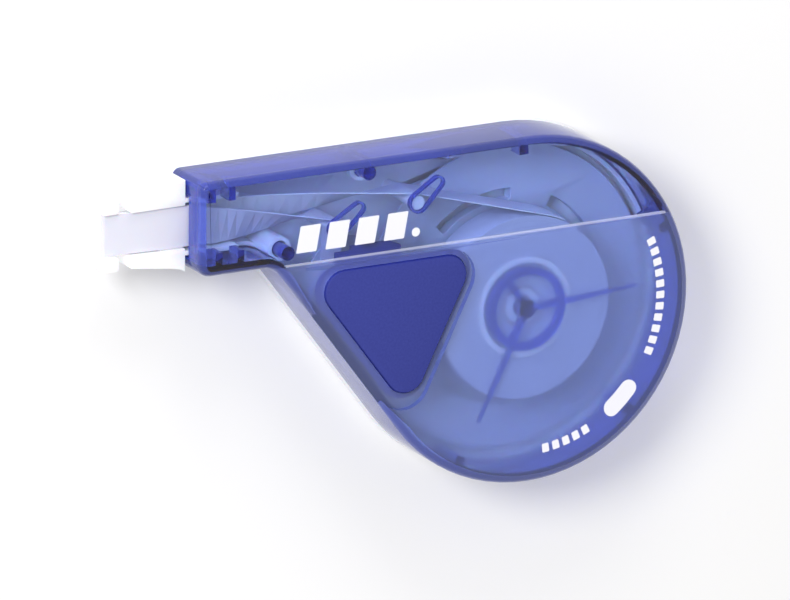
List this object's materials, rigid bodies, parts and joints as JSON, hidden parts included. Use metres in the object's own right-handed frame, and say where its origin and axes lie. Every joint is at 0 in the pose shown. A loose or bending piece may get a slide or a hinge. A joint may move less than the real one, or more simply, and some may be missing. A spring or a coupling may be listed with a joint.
{
  "type": "correction tape roller",
  "caption": "Flat teardrop correction tape roller with a translucent case, a tip that lays the tape, and geared supply and take-up reels.",
  "frame": {"origin": "on the supply reel's axis, at the outside of the rear shell", "axes": "+Z out of the front cover, +X from the tip to the round tail, +Y to the straight long edge"},
  "size_m": [0.0769, 0.043, 0.0105],
  "materials": {
    "milky_plastic": "milky translucent moulded polystyrene, polished",
    "blue_plastic": "transparent blue moulded polystyrene, polished strip above a fine spark-eroded face",
    "grip_plastic": "dark blue fine-grained moulded plastic",
    "white_plastic": "white moulded plastic, satin",
    "gear_plastic": "natural white moulded acetal",
    "washer_rubber": "dark moulded rubber",
    "spring_steel": "drawn spring wire",
    "tape_film": "white correction film on a thin liner",
    "liner_paper": "thin translucent release liner"
  },
  "bodies": {
    "case": {"rear_shell": "milky_plastic", "front_cover": "blue_plastic", "grip_pad": "grip_plastic", "tip_head": "white_plastic", "tape_feed_run": "tape_film", "liner_return_run": "liner_paper"},
    "supply_reel": {"supply_core": "white_plastic", "supply_tape_pack": "tape_film"},
    "drive_gear": {"drive_gear": "gear_plastic", "clutch_washer": "washer_rubber", "clutch_spring": "spring_steel", "clutch_cap": "gear_plastic"},
    "idler_gear": {"idler_gear": "gear_plastic"},
    "takeup_reel": {"takeup_reel": "gear_plastic", "takeup_liner_pack": "liner_paper"}
  },
  "joints": [
    {"name": "supply_spin", "type": "hinge", "parent": "case", "child": "supply_reel", "pos_m": [0, 0, 0], "axis": [0, 0, 1], "continuous": true},
    {"name": "drive_spin", "type": "hinge", "parent": "case", "child": "drive_gear", "pos_m": [0, 0, 0], "axis": [0, 0, 1], "continuous": true},
    {"name": "idler_spin", "type": "hinge", "parent": "case", "child": "idler_gear", "pos_m": [-0.01797, -0.001, 0], "axis": [0, 0, 1], "continuous": true},
    {"name": "takeup_spin", "type": "hinge", "parent": "case", "child": "takeup_reel", "pos_m": [-0.0214, 0.0051, 0], "axis": [0, 0, 1], "continuous": true}
  ],
  "couplings": [
    {"joint": "drive_spin", "follows": "supply_spin", "ratio": 1},
    {"joint": "idler_spin", "follows": "supply_spin", "ratio": -5},
    {"joint": "takeup_spin", "follows": "supply_spin", "ratio": 3.75}
  ]
}
